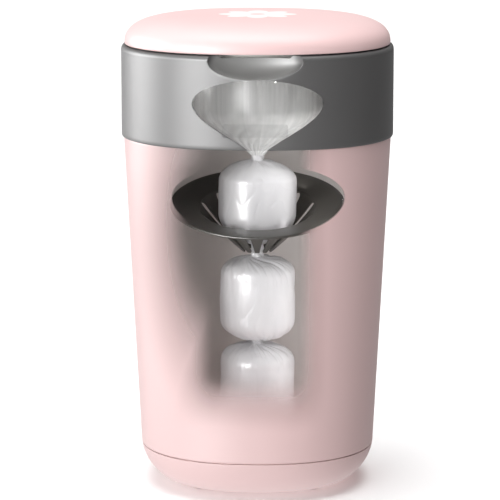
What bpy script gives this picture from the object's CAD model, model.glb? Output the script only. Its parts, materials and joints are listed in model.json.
"""Looks of the nappy bin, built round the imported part.

Sizes are typed in millimetres and turned to metres where a mesh is made. +Z is up and the front faces -Y.
"""

import json
import logging
import math
from collections.abc import Sequence
from dataclasses import dataclass, field
from enum import Enum

import bmesh
import bpy
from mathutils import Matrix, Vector, noise

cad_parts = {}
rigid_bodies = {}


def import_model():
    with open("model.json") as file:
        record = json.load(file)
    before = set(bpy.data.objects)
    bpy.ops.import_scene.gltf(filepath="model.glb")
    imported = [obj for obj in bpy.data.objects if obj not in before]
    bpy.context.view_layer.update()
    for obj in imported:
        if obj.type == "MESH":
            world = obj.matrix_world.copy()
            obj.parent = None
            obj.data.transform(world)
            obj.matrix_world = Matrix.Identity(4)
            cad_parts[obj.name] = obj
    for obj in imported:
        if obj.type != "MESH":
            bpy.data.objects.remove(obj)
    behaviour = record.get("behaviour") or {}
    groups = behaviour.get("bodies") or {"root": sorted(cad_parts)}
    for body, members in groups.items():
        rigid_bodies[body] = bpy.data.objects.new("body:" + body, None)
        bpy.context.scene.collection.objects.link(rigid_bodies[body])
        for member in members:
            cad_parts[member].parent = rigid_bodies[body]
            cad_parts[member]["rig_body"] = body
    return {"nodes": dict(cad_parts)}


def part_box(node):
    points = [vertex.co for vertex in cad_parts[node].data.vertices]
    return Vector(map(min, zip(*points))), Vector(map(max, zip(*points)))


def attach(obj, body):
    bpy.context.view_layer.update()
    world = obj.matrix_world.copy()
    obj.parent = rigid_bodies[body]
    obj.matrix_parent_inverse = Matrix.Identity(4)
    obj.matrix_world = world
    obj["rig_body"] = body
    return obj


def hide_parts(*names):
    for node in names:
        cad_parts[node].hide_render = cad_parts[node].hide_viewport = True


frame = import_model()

log = logging.getLogger("nappy_bin")

MM = 0.001
PILOT = 1.52  # radius of a hole that a screw cuts its own thread in
Flat = tuple[float, float]
Place = tuple[float, float, float]
Piece = bpy.types.Object
Socket = bpy.types.NodeSocket
Tree = bpy.types.NodeTree

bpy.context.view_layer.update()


# ---- Numbers and colours ----


def linear(colour: str) -> tuple[float, float, float, float]:
    """Turn an sRGB hex colour into the linear one that a shader takes.

    Args:
        colour: six hex digits, such as "f3dcdb".

    Returns:
        Red, green, blue and 1.
    """
    parts = [int(colour[i : i + 2], 16) / 255 for i in (0, 2, 4)]
    red, green, blue = (c / 12.92 if c <= 0.04045 else ((c + 0.055) / 1.055) ** 2.4 for c in parts)
    return red, green, blue, 1.0


def ease(value: float, low: float, high: float) -> float:
    """Rise smoothly from 0 at low to 1 at high. Low may be above high."""
    t = min(1.0, max(0.0, (value - low) / (high - low)))
    return t * t * (3 - 2 * t)


def steps(low: float, high: float, count: int) -> list[float]:
    """Give count numbers evenly from low to high, both included."""
    return [low + (high - low) * i / (count - 1) for i in range(count)]


def polar(reach: float, turn: float, centre: Flat = (0.0, 0.0)) -> Flat:
    """Give the spot at a distance from the centre, in a direction in radians."""
    return centre[0] + reach * math.cos(turn), centre[1] + reach * math.sin(turn)


def corners(place: Flat) -> list[Flat]:
    """Give a spot and its mirror images in the four corners."""
    return [(sx * place[0], sy * place[1]) for sx in (-1, 1) for sy in (-1, 1)]


# ---- Nodes ----


def fill(tree: Tree, node: bpy.types.Node, inputs: dict[str | int, object]) -> None:
    """Set a node's inputs.

    Args:
        tree: the node's tree.
        node: the node.
        inputs: by the input's name or number, its value, the socket to link to it, or a list of sockets.
    """
    for key, given in inputs.items():
        for one in given if isinstance(given, list) else [given]:
            if isinstance(one, Socket):
                tree.links.new(one, node.inputs[key])
            else:
                node.inputs[key].default_value = one


def add_node(
    tree: Tree, kind: str, inputs: dict[str | int, object], out: str | int = 0, **settings: object
) -> Socket:
    """Add a node with its settings and links.

    Args:
        tree: the tree that takes the node.
        kind: the node's type name.
        inputs: its inputs, as in fill.
        out: the name or number of the output to give.
        settings: the node's own properties.

    Returns:
        The output socket.
    """
    node = tree.nodes.new(kind)
    for key, value in settings.items():
        setattr(node, key, value)
    fill(tree, node, inputs)
    return node.outputs[out]


class Along(Enum):
    """Which coordinate a soft edge is read on."""

    WIDTH = 0
    DEPTH = 1
    HEIGHT = 2


@dataclass(frozen=True)
class Edge:
    """A soft edge: a coordinate at which a pane is closed and one at which it is open, in millimetres."""

    along: Along
    closed: float
    opened: float

    def share(self, tree: Tree, xyz: Sequence[Socket]) -> Socket:
        """Add the ramp from closed to open.

        Args:
            tree: the material's tree.
            xyz: the three coordinates, in metres.

        Returns:
            The share that is open, from 0 to 1.
        """
        low, high = sorted((self.closed, self.opened))
        inputs = {
            "Value": xyz[self.along.value], "From Min": low * MM, "From Max": high * MM,
            "To Min": float(low == self.opened), "To Max": float(low == self.closed),
        }
        return add_node(tree, "ShaderNodeMapRange", inputs, interpolation_type="SMOOTHSTEP")


class Pane:
    """One soft-edged see-through shape, as seen from the front."""

    def share(self, tree: Tree, xyz: Sequence[Socket]) -> Socket:
        """Add the nodes that say how open the pane is. Each kind of pane has its own."""
        raise NotImplementedError


@dataclass(frozen=True)
class SquarePane(Pane):
    """A pane with an edge on each side that it names."""

    edges: tuple[Edge, ...]

    def share(self, tree: Tree, xyz: Sequence[Socket]) -> Socket:
        """Add one ramp for each edge, and multiply them.

        Args:
            tree: the material's tree.
            xyz: the three coordinates, in metres.

        Returns:
            The share that is open.
        """
        share, *others = (edge.share(tree, xyz) for edge in self.edges)
        for other in others:
            share = add_node(tree, "ShaderNodeMath", {0: share, 1: other}, operation="MULTIPLY")
        return share


@dataclass(frozen=True)
class OvalPane(Pane):
    """An upright oval pane, in millimetres. Its edge is a share of its size."""

    x: float
    z: float
    half_width: float
    half_height: float
    edge: float

    def share(self, tree: Tree, xyz: Sequence[Socket]) -> Socket:
        """Add the distance from the middle in radii, and a ramp at the rim.

        Args:
            tree: the material's tree.
            xyz: the three coordinates, in metres.

        Returns:
            The share that is open.
        """
        radii = {}
        for n, (source, middle, half) in enumerate(
            ((xyz[0], self.x, self.half_width), (xyz[2], self.z, self.half_height))
        ):
            inputs = {0: source, 1: 1 / (half * MM), 2: -middle / half}
            radii[n] = add_node(tree, "ShaderNodeMath", inputs, operation="MULTIPLY_ADD")
        flat = add_node(tree, "ShaderNodeCombineXYZ", radii)
        far = add_node(tree, "ShaderNodeVectorMath", {0: flat}, "Value", operation="LENGTH")
        rim = {"Value": far, "From Min": 1 - self.edge, "From Max": 1.0, "To Min": 1.0, "To Max": 0.0}
        return add_node(tree, "ShaderNodeMapRange", rim, interpolation_type="SMOOTHSTEP")


@dataclass(frozen=True)
class FunnelPane(Pane):
    """A pane in the outline of a gathered film, in millimetres: wide at the top and drawn in to a neck."""

    x: float
    top: float
    drop: float
    mouth: float
    neck: float
    power: float = 0.68
    edge: float = 1.2

    def share(self, tree: Tree, xyz: Sequence[Socket]) -> Socket:
        """Add the film's half-width at each height, and a ramp at its sides.

        Args:
            tree: the material's tree.
            xyz: the three coordinates, in metres.

        Returns:
            The share that is open.
        """
        low, high = (self.top - self.drop) * MM, self.top * MM
        fall = {"Value": xyz[2], "From Min": low, "From Max": high, "To Min": math.pi, "To Max": 0.0}
        half = add_node(tree, "ShaderNodeMapRange", fall)
        for operation, *numbers in (
            ("COSINE",),
            ("MULTIPLY_ADD", 0.5, 0.5),
            ("POWER", self.power),
            ("MULTIPLY_ADD", (self.mouth - self.neck) * MM, self.neck * MM),
        ):
            inputs = {0: half} | dict(enumerate(numbers, 1))
            half = add_node(tree, "ShaderNodeMath", inputs, operation=operation)
        offset = add_node(tree, "ShaderNodeMath", {0: xyz[0], 1: self.x * MM}, operation="SUBTRACT")
        side = add_node(tree, "ShaderNodeMath", {0: offset}, operation="ABSOLUTE")
        inside = add_node(tree, "ShaderNodeMath", {0: half, 1: side}, operation="SUBTRACT")
        fade = {"Value": inside, "From Min": 0.0, "From Max": self.edge * MM}
        sides = add_node(tree, "ShaderNodeMapRange", fade)
        under = add_node(tree, "ShaderNodeMath", {0: xyz[2], 1: high}, operation="LESS_THAN")
        return add_node(tree, "ShaderNodeMath", {0: sides, 1: under}, operation="MULTIPLY")


@dataclass(frozen=True)
class Window:
    """A see-through area in a front wall, made of panes that overlap."""

    panes: tuple[Pane, ...]
    clear: float = 1.0
    front: Edge = Edge(Along.DEPTH, -30, -50)

    def alpha(self, tree: Tree, place: Socket) -> Socket:
        """Add the nodes that give the wall's opacity.

        Args:
            tree: the material's tree.
            place: the place on the object, in metres.

        Returns:
            The opacity: 1 is whole, and 1 - clear is the middle of a pane.
        """
        xyz = add_node(tree, "ShaderNodeSeparateXYZ", {0: place}).node.outputs
        share, *others = (pane.share(tree, xyz) for pane in self.panes)
        for other in others:
            share = add_node(tree, "ShaderNodeMath", {0: share, 1: other}, operation="MAXIMUM")
        ahead = self.front.share(tree, xyz)
        share = add_node(tree, "ShaderNodeMath", {0: share, 1: ahead}, operation="MULTIPLY")
        return add_node(tree, "ShaderNodeMath", {0: share, 1: -self.clear, 2: 1.0}, operation="MULTIPLY_ADD")


# ---- Finishes ----


@dataclass(frozen=True)
class Look:
    """A material that is being made: its tree, its shader, and the place on the object in metres."""

    tree: Tree
    shader: bpy.types.Node
    place: Socket

    def set(self, inputs: dict[str, object]) -> None:
        """Set the shader's inputs, as in fill."""
        fill(self.tree, self.shader, inputs)

    def overlay(self, share: Socket, colour: str) -> None:
        """Lay a colour over the one so far.

        Args:
            share: where it lies: 1 there, and 0 elsewhere.
            colour: the colour, as hex.
        """
        under = self.shader.inputs["Base Color"].links[0].from_socket
        inputs = {0: share, 6: under, 7: linear(colour)}
        self.set({"Base Color": add_node(self.tree, "ShaderNodeMix", inputs, 2, data_type="RGBA")})

    def surface(
        self, colours: tuple[str, str], cloud: Socket, relief: Socket, strength: float, height: float,
        under: dict[str, Socket] | None = None,
    ) -> None:
        """Blend two colours by one pattern, and raise the surface by another.

        Args:
            colours: the two, as hex.
            cloud: the pattern of the colours, where 0 is the first.
            relief: the pattern of the surface.
            strength: how strongly the relief shows.
            height: its height in millimetres.
            under: a further relief, as the Normal input that it goes to.
        """
        first, second = (linear(colour) for colour in colours)
        blend = add_node(self.tree, "ShaderNodeMix", {0: cloud, 6: first, 7: second}, 2, data_type="RGBA")
        inputs = {"Strength": strength, "Distance": height * MM, "Height": relief} | (under or {})
        self.set({"Base Color": blend, "Normal": add_node(self.tree, "ShaderNodeBump", inputs)})

    def gloss(self, pattern: Socket, roughness: float, uneven: float) -> None:
        """Let a pattern vary the roughness by so much to each side."""
        inputs = {"Value": pattern, "To Min": roughness - uneven, "To Max": roughness + uneven}
        self.set({"Roughness": add_node(self.tree, "ShaderNodeMapRange", inputs)})


class Finish:
    """A material that is made once and then shared."""

    name: str
    slot: str

    def dress(self, look: Look) -> None:
        """Add this finish's nodes. Each kind of finish has its own."""
        raise NotImplementedError

    def material(self) -> bpy.types.Material:
        """Make the material, or find it if it is made.

        Returns:
            The material, named for what the real one is.
        """
        made = bpy.data.materials.get(self.name)
        if not made:
            made = bpy.data.materials.new(self.name)
            made.use_nodes = True
            tree = made.node_tree
            place = add_node(tree, "ShaderNodeTexCoord", {}, "Object")
            self.dress(Look(tree, tree.nodes["Principled BSDF"], place))
        return made


@dataclass(frozen=True)
class MouldedPlastic(Finish):
    """A moulded plastic: a satin skin with a fine spark-eroded grain and faint clouds of pigment."""

    name: str
    slot: str
    colour: str
    shade: str
    roughness: float = 0.4
    uneven: float = 0.05
    shine: float = 0.5
    grain: float = 1.1
    grain_height: float = 0.012
    cloud: float = 60.0
    window: Window | None = None
    rubbed: OvalPane | None = None
    rubbed_colour: str = "8e8e8d"
    inside: str | None = None

    def dress(self, look: Look) -> None:
        """Add the pigment clouds, the grain, a rubbed patch, a duller inside and the window.

        Args:
            look: the material that is being made.
        """
        tree, place = look.tree, look.place
        clouds = {"Scale": 1 / (self.cloud * MM), "Detail": 3.0, "Roughness": 0.55, "Vector": place}
        cloud = add_node(tree, "ShaderNodeTexNoise", clouds)
        # The real grain is about 0.1 mm. It is drawn coarser so that it shows in the render.
        grains = {"Scale": 1 / (self.grain * MM), "Detail": 2.0, "Roughness": 0.6, "Vector": place}
        grain = add_node(tree, "ShaderNodeTexNoise", grains)
        look.surface((self.colour, self.shade), cloud, grain, 1.0, self.grain_height)
        if self.rubbed:
            xyz = add_node(tree, "ShaderNodeSeparateXYZ", {0: place}).node.outputs
            look.overlay(self.rubbed.share(tree, xyz), self.rubbed_colour)
        if self.inside:
            normal = add_node(tree, "ShaderNodeNewGeometry", {}, "Normal")
            both = {0: normal, 1: place}
            facing = add_node(tree, "ShaderNodeVectorMath", both, "Value", operation="DOT_PRODUCT")
            inner = add_node(tree, "ShaderNodeMath", {0: facing, 1: 0.0}, operation="LESS_THAN")
            look.overlay(inner, self.inside)
        look.gloss(grain, self.roughness, self.uneven)
        look.set({"IOR": 1.49, "Specular IOR Level": self.shine})
        if self.window:
            look.set({"Alpha": self.window.alpha(tree, place)})


@dataclass(frozen=True)
class PrintedPlastic(MouldedPlastic):
    """Moulded plastic with one plain blossom printed on it in a paler ink, round the axis."""

    ink: str = "fff6f5"
    petals: int = 8
    petal_reach: float = 38.0
    petal_depth: float = 12.0
    heart: float = 7.0
    print_edge: float = 0.8

    def dress(self, look: Look) -> None:
        """Add the plastic's nodes, then the printed blossom over its colour.

        Args:
            look: the material that is being made.
        """
        super().dress(look)
        tree = look.tree
        xyz = add_node(tree, "ShaderNodeSeparateXYZ", {0: look.place}).node.outputs
        flat = add_node(tree, "ShaderNodeCombineXYZ", {0: xyz[0], 1: xyz[1]})
        reach = add_node(tree, "ShaderNodeVectorMath", {0: flat}, "Value", operation="LENGTH")
        edge = add_node(tree, "ShaderNodeMath", {0: xyz[1], 1: xyz[0]}, operation="ARCTAN2")
        for operation, *numbers in (
            ("MULTIPLY", self.petals / 2),
            ("COSINE",),
            ("ABSOLUTE",),
            ("MULTIPLY_ADD", self.petal_depth * MM, (self.petal_reach - self.petal_depth) * MM),
        ):
            inputs = {0: edge} | dict(enumerate(numbers, 1))
            edge = add_node(tree, "ShaderNodeMath", inputs, operation=operation)
        inside = add_node(tree, "ShaderNodeMath", {0: edge, 1: reach}, operation="SUBTRACT")
        fade = {"Value": inside, "From Min": 0.0, "From Max": self.print_edge * MM}
        petal = add_node(tree, "ShaderNodeMapRange", fade)
        fade = {"Value": reach, "From Min": self.heart * MM, "From Max": (self.heart + self.print_edge) * MM}
        hole = add_node(tree, "ShaderNodeMapRange", fade)
        look.overlay(add_node(tree, "ShaderNodeMath", {0: petal, 1: hole}, operation="MULTIPLY"), self.ink)


@dataclass(frozen=True)
class FilmWrap(Finish):
    """Thin white polythene drawn tight over a rolled nappy: soft gloss, fine creases and milky patches."""

    name: str = "polythene_film_over_nappy"
    slot: str = "wrapped_nappy"
    colour: str = "f1f0f1"
    shade: str = "d6d5d8"
    roughness: float = 0.38
    patch: float = 22.0
    crease: float = 13.0
    crease_height: float = 0.22
    crinkle: float = 3.0
    crinkle_height: float = 0.12
    scatter: float = 14.0

    def dress(self, look: Look) -> None:
        """Add long creases, fine crinkles and milky patches.

        Args:
            look: the material that is being made.
        """
        tree, place = look.tree, look.place
        longer = add_node(tree, "ShaderNodeMapping", {"Scale": (1.0, 1.0, 0.35), "Vector": place})
        creases = {
            "Scale": 1 / (self.crease * MM), "Detail": 3.0, "Roughness": 0.5, "Distortion": 0.6,
            "Vector": longer,
        }
        crease = add_node(tree, "ShaderNodeTexNoise", creases, noise_type="RIDGED_MULTIFRACTAL")
        crinkles = {"Scale": 1 / (self.crinkle * MM), "Detail": 3.0, "Distortion": 1.2, "Vector": place}
        crinkle = add_node(tree, "ShaderNodeTexNoise", crinkles)
        patches = {"Scale": 1 / (self.patch * MM), "Detail": 2.0, "Vector": longer}
        milky = add_node(tree, "ShaderNodeTexNoise", patches)
        fine = {"Strength": 0.6, "Distance": self.crinkle_height * MM, "Height": crinkle}
        under = {"Normal": add_node(tree, "ShaderNodeBump", fine)}
        look.surface((self.colour, self.shade), milky, crease, 0.55, self.crease_height, under)
        look.set({"Roughness": self.roughness, "IOR": 1.51, "Coat Weight": 0.25, "Coat Roughness": 0.2})
        scatter = (self.scatter * MM,) * 3
        look.set({"Subsurface Weight": 0.35, "Subsurface Radius": scatter, "Subsurface Scale": 1.0})


@dataclass(frozen=True)
class LooseFilm(Finish):
    """Unfilled polythene film: milky, see-through and streaked along its pleats."""

    name: str = "milky_polythene_film"
    slot: str = "film"
    colour: str = "fcfcfb"
    cover: float = 0.85

    def dress(self, look: Look) -> None:
        """Add the streaks, in which the film is more or less milky.

        Args:
            look: the material that is being made.
        """
        tree = look.tree
        xyz = add_node(tree, "ShaderNodeSeparateXYZ", {0: look.place}).node.outputs
        flat = add_node(tree, "ShaderNodeCombineXYZ", {0: xyz[0], 1: xyz[1]})
        ring = add_node(tree, "ShaderNodeVectorMath", {0: flat}, operation="NORMALIZE")
        streaks = {"Scale": 6.0, "Detail": 3.0, "Roughness": 0.6, "Vector": ring}
        milky = {
            "Value": add_node(tree, "ShaderNodeTexNoise", streaks), "From Min": 0.35, "From Max": 0.7,
            "To Min": self.cover * 0.6, "To Max": min(1.0, self.cover * 1.5),
        }
        look.set({"Alpha": add_node(tree, "ShaderNodeMapRange", milky)})
        look.set({"Base Color": linear(self.colour), "Roughness": 0.3, "IOR": 1.51})


@dataclass(frozen=True)
class FoldedFilm(Finish):
    """The refill: film packed in a ring of thin folds that lie on each other."""

    name: str = "packed_polythene_folds"
    slot: str = "film_roll"
    colour: str = "eceae6"
    shade: str = "c9c6c2"
    fold: float = 1.6
    fold_height: float = 0.4
    window: Window | None = None

    def dress(self, look: Look) -> None:
        """Add the folds as uneven bands up the pack.

        Args:
            look: the material that is being made.
        """
        waves = {
            "Scale": math.pi / (10 * self.fold * MM), "Distortion": 3.0, "Detail": 2.0, "Detail Scale": 2.0,
            "Vector": look.place,
        }
        bands = add_node(look.tree, "ShaderNodeTexWave", waves, "Fac", wave_type="BANDS", bands_direction="Z")
        look.surface((self.shade, self.colour), bands, bands, 0.8, self.fold_height)
        look.set({"Roughness": 0.35})
        if self.window:
            look.set({"Alpha": self.window.alpha(look.tree, look.place)})


@dataclass(frozen=True)
class ClearPlastic(Finish):
    """Clear moulded plastic: only its gloss and a faint grey body show."""

    name: str = "clear_polycarbonate"
    slot: str = "grey_inner"
    colour: str = "dedcda"
    cover: float = 0.09
    flow: float = 9.0

    def dress(self, look: Look) -> None:
        """Add faint flow lines to a clear body.

        Args:
            look: the material that is being made.
        """
        lines = {"Scale": 1 / (self.flow * MM), "Detail": 2.0, "Vector": look.place}
        flow = add_node(look.tree, "ShaderNodeTexNoise", lines)
        body = {"Value": flow, "To Min": self.cover * 0.7, "To Max": self.cover * 1.3}
        look.set({"Alpha": add_node(look.tree, "ShaderNodeMapRange", body)})
        look.set({"Base Color": linear(self.colour), "Roughness": 0.12, "IOR": 1.58})


@dataclass(frozen=True)
class Steel(Finish):
    """Bright steel: turned on a pin, plated on a screw, ground on a blade."""

    name: str
    slot: str
    colour: str = "c9ccd1"
    shade: str = "a4a8ae"
    roughness: float = 0.28
    uneven: float = 0.08
    mark: float = 0.6
    mark_height: float = 0.01
    along: Place = (0.05, 1.0, 1.0)

    def dress(self, look: Look) -> None:
        """Add tool marks that run along the part.

        Args:
            look: the material that is being made.
        """
        tree = look.tree
        drawn = add_node(tree, "ShaderNodeMapping", {"Scale": self.along, "Vector": look.place})
        lines = {"Scale": 1 / (self.mark * MM), "Detail": 3.0, "Vector": drawn}
        marks = add_node(tree, "ShaderNodeTexNoise", lines)
        look.surface((self.colour, self.shade), marks, marks, 0.5, self.mark_height)
        look.gloss(marks, self.roughness, self.uneven)
        look.set({"Metallic": 1.0})


@dataclass(frozen=True)
class Rubber(Finish):
    """Black rubber: matt, with a fine bloom of grey."""

    name: str = "black_rubber"
    slot: str = "black_rubber"
    colour: str = "232323"
    shade: str = "343434"
    bloom: float = 4.0
    bloom_height: float = 0.03

    def dress(self, look: Look) -> None:
        """Add the bloom and a fine grain.

        Args:
            look: the material that is being made.
        """
        blooms = {"Scale": 1 / (self.bloom * MM), "Detail": 4.0, "Vector": look.place}
        bloom = add_node(look.tree, "ShaderNodeTexNoise", blooms)
        look.surface((self.colour, self.shade), bloom, bloom, 0.6, self.bloom_height)
        look.set({"Roughness": 0.78, "IOR": 1.52})


# The walls are opaque. These windows show what is inside, as the picture does.
TUB_WINDOW = Window(
    (
        SquarePane((Edge(Along.WIDTH, -84, -38), Edge(Along.WIDTH, 70, 38), Edge(Along.HEIGHT, 68, 130))),
        OvalPane(-34, 268, 90, 212, edge=0.72),
        OvalPane(2.2, 295, 82, 36, edge=0.02),
    )
)
HEAD_WINDOW = Window(
    (
        SquarePane(
            (
                Edge(Along.WIDTH, -74, -68), Edge(Along.WIDTH, 74, 68),
                Edge(Along.HEIGHT, 342.5, 343), Edge(Along.HEIGHT, 412, 410),
            )
        ),
    ),
    front=Edge(Along.DEPTH, 6, 2),
)
COLLAR_WINDOW = Window(
    (OvalPane(2.2, 386.2, 61.5, 22.5, edge=0.03), FunnelPane(2.2, 386.2, 46.6, 61.5, 7.2)), clear=0.88
)

# Moulded polypropylene, satin: the pale pink of the tub and its base, duller on the tub's inside
PINK_SHELL = MouldedPlastic(
    "satin_polypropylene_pink", "pink_shell", "e6c6c5", "e2c2c1", roughness=0.46, window=TUB_WINDOW,
    inside="cfcac7",
)
PINK_BASE = MouldedPlastic("satin_polypropylene_pink_base", "pink_shell", "e8c8c7", "e4c4c3", roughness=0.46)
# Moulded ABS, smoother than the tub but lit as softly: the lid, with a plain blossom in paler ink
PINK_LID = PrintedPlastic(
    "glossy_abs_pink", "pink_lid", "f3d2d1", "f0cecd", roughness=0.42, shine=0.25, grain_height=0.005
)
# Moulded ABS, satin: the grey collar and its plate, rubbed paler in the thumb's recess
GREY_SHELL = MouldedPlastic(
    "satin_abs_grey", "grey_shell", "5a5959", "545353", roughness=0.47, window=COLLAR_WINDOW,
    rubbed=OvalPane(-1.5, 423, 44.5, 18, edge=0.2),
)
GREY_BRACKET = MouldedPlastic("satin_abs_grey_bracket", "grey_shell", "5a5959", "545353")
# Moulded polypropylene, unpolished and matt: the grey parts inside
GREY_INNER = MouldedPlastic(
    "matt_polypropylene_grey", "grey_inner", "b3b2b1", "a8a7a6", roughness=0.5, window=HEAD_WINDOW
)
GREY_INNER_WHOLE = MouldedPlastic(
    "matt_polypropylene_grey_bracket", "grey_inner", "b3b2b1", "a8a7a6", roughness=0.5
)
# Moulded ABS, dark warm grey with a soft sheen: the gripper
DARK_PLASTIC = MouldedPlastic("satin_abs_dark", "dark_plastic", "524f4b", "4a4844", roughness=0.38, cloud=30)
# Moulded acetal, ivory white and waxy: what turns and clicks
WHITE_PLASTIC = MouldedPlastic(
    "acetal_white", "white_plastic", "efeeea", "e4e2de", roughness=0.35, window=HEAD_WINDOW
)
WHITE_WHOLE = MouldedPlastic("acetal_white_small", "white_plastic", "efeeea", "e4e2de", roughness=0.35)
# Moulded polycarbonate, clear: the hangers hardly show
CLEAR_PLASTIC = ClearPlastic()
# Blown polythene, thin and white: soft and creased on the nappies, milky where loose, banded in its pack
NAPPY_WRAP = FilmWrap()
LOOSE_FILM = LooseFilm()
FILM_PACK = FoldedFilm(window=HEAD_WINDOW)
# Moulded rubber, black and matt: the feet and the seal
BLACK_RUBBER = Rubber()
# Steel, bright with fine tool marks: zinc-plated screws, turned pins and the ground blade
SCREW_STEEL = Steel("zinc_plated_steel", "screw_steel", along=(1.0, 1.0, 0.1))
PIN_STEEL = Steel("turned_steel", "pin_steel")
BLADE_STEEL = Steel("ground_steel", "blade_steel", roughness=0.2, along=(1.0, 1.0, 0.08))


# ---- Meshes ----


def put(name: str, data: bpy.types.ID) -> Piece:
    """Put an object in the scene.

    Args:
        name: its name.
        data: its mesh, light or camera.

    Returns:
        The object, at the origin.
    """
    piece = bpy.data.objects.new(name, data)
    bpy.context.scene.collection.objects.link(piece)
    return piece


def shade(piece: Piece, sharp: float) -> None:
    """Shade a piece smoothly, with a break at each edge sharper than the angle in degrees."""
    piece.data.shade_smooth()
    piece.data.set_sharp_from_angle(angle=math.radians(sharp))


def new_mesh(name: str, places: Sequence[Place], faces: Sequence[Sequence[int]] = ()) -> bpy.types.Mesh:
    """Make a mesh from points in millimetres.

    Args:
        name: the mesh's name.
        places: its points.
        faces: the points of each face, by number.

    Returns:
        The mesh.
    """
    mesh = bpy.data.meshes.new(name)
    mesh.from_pydata([(x * MM, y * MM, z * MM) for x, y, z in places], [], [list(f) for f in faces])
    return mesh


def make_piece(
    name: str, places: Sequence[Place], faces: Sequence[Sequence[int]], sharp: float = 40.0
) -> Piece:
    """Make a mesh object with merged points, clean faces and shading that breaks at sharp edges.

    Args:
        name: the piece's name.
        places: its points, in millimetres.
        faces: the points of each face, by number, anticlockwise from outside.
        sharp: the angle in degrees past which an edge is sharp.

    Returns:
        The new object, at the origin.
    """
    mesh = new_mesh(name, places, faces)
    work = bmesh.new()
    work.from_mesh(mesh)
    bmesh.ops.remove_doubles(work, verts=work.verts, dist=0.002 * MM)
    bmesh.ops.dissolve_degenerate(work, edges=work.edges, dist=0.001 * MM)
    work.to_mesh(mesh)
    work.free()
    piece = put(name, mesh)
    shade(piece, sharp)
    return piece


def lattice(
    rows: int, columns: int, wrap_rows: bool = False, wrap_columns: bool = True
) -> list[tuple[int, ...]]:
    """Give the faces of a lattice of points, stored row by row.

    Args:
        rows: how many rows there are. They run up the outside.
        columns: how many points a row has. They run anticlockwise from above.
        wrap_rows: whether the last row joins the first.
        wrap_columns: whether each row closes on itself.

    Returns:
        Four points for each face, anticlockwise from outside.
    """
    faces = []
    for k in range(rows if wrap_rows else rows - 1):
        up = (k + 1) % rows
        for i in range(columns if wrap_columns else columns - 1):
            j = (i + 1) % columns
            faces.append((k * columns + i, k * columns + j, up * columns + j, up * columns + i))
    return faces


def join_lattice(
    name: str, rows: Sequence[Sequence[Place]], looped: bool = False, sharp: float = 40.0
) -> Piece:
    """Make a closed piece from rows of points, each of which closes on itself.

    Args:
        name: the piece's name.
        rows: the rows, in millimetres, up the outside and down the inside.
        looped: whether the last row joins the first. Otherwise a face closes each of the two.
        sharp: the angle in degrees past which an edge is sharp.

    Returns:
        The new object.
    """
    columns = len(rows[0])
    faces = lattice(len(rows), columns, wrap_rows=looped)
    if not looped:
        last = (len(rows) - 1) * columns
        faces += [tuple(range(columns - 1, -1, -1)), tuple(range(last, last + columns))]
    return make_piece(name, [p for row in rows for p in row], faces, sharp)


def ring(centre: Flat, radius: float, z: float, sides: int) -> list[Place]:
    """Give the points of a circle at the height z."""
    return [(*polar(radius, t, centre), z) for t in steps(0, math.tau, sides + 1)[:-1]]


def add_tube(name: str, centre: Flat, inner: float, outer: float, low: float, high: float) -> Piece:
    """Make an upright tube with softened rims.

    Args:
        name: the piece's name.
        centre: where it stands.
        inner: its inner radius.
        outer: its outer radius.
        low: the height of its foot.
        high: the height of its top.

    Returns:
        The new object.
    """
    edge = min(0.3, (outer - inner) / 4)
    profile = [
        (inner, low), (outer - edge, low), (outer, low + edge), (outer, high - edge),
        (outer - edge, high), (inner + edge, high), (inner, high - edge),
    ]
    return join_lattice(name, [ring(centre, r, z, 40) for r, z in profile], looped=True)


def add_rod(name: str, centre: Flat, radius: float, low: float, high: float, sides: int = 40) -> Piece:
    """Make a plain upright rod, which cuts a hole. Sizes are as in add_tube."""
    return join_lattice(name, [ring(centre, radius, z, sides) for z in (low, high)])


def add_block(name: str, low: Place, high: Place) -> Piece:
    """Make a block between two opposite corners, which cuts a notch."""
    spots = [(low[0], low[1]), (high[0], low[1]), (high[0], high[1]), (low[0], high[1])]
    return join_lattice(name, [[(x, y, z) for x, y in spots] for z in (low[2], high[2])])


def as_mesh(piece: Piece, sharp: float) -> Piece:
    """Apply a piece's modifiers and leave a plain mesh.

    Args:
        piece: the piece.
        sharp: the angle in degrees past which an edge is sharp.

    Returns:
        The same piece.
    """
    bpy.context.view_layer.update()
    seen = piece.evaluated_get(bpy.context.evaluated_depsgraph_get())
    mesh = bpy.data.meshes.new_from_object(seen, depsgraph=bpy.context.evaluated_depsgraph_get())
    mesh.name = piece.data.name
    piece.modifiers.clear()
    piece.data = mesh
    shade(piece, sharp)
    return piece


def cut(piece: Piece, cutters: Sequence[Piece], sharp: float = 40.0) -> None:
    """Cut closed shapes out of a piece and remove them.

    Args:
        piece: the piece.
        cutters: the shapes.
        sharp: the angle in degrees past which an edge is sharp.
    """
    for cutter in cutters:
        step = piece.modifiers.new("cut", "BOOLEAN")
        step.operation = "DIFFERENCE"
        step.solver = "MANIFOLD"
        step.object = cutter
    as_mesh(piece, sharp)
    for cutter in cutters:
        bpy.data.objects.remove(cutter)


def join(piece: Piece, others: Sequence[Piece]) -> None:
    """Put other pieces into one, which keeps their shading.

    Args:
        piece: the piece that stays.
        others: the pieces that go into it.
    """
    every = [piece, *others]
    with bpy.context.temp_override(
        active_object=piece, object=piece, selected_objects=every, selected_editable_objects=every
    ):
        bpy.ops.object.join()


def add_posts(
    piece: Piece, label: str, places: Sequence[Flat], inner: float, outer: float, low: float, high: float
) -> None:
    """Put upright screw posts into a piece, made as add_tube makes them and numbered after their label."""
    join(piece, [add_tube(f"{label}_{n}", place, inner, outer, low, high) for n, place in enumerate(places)])


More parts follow.
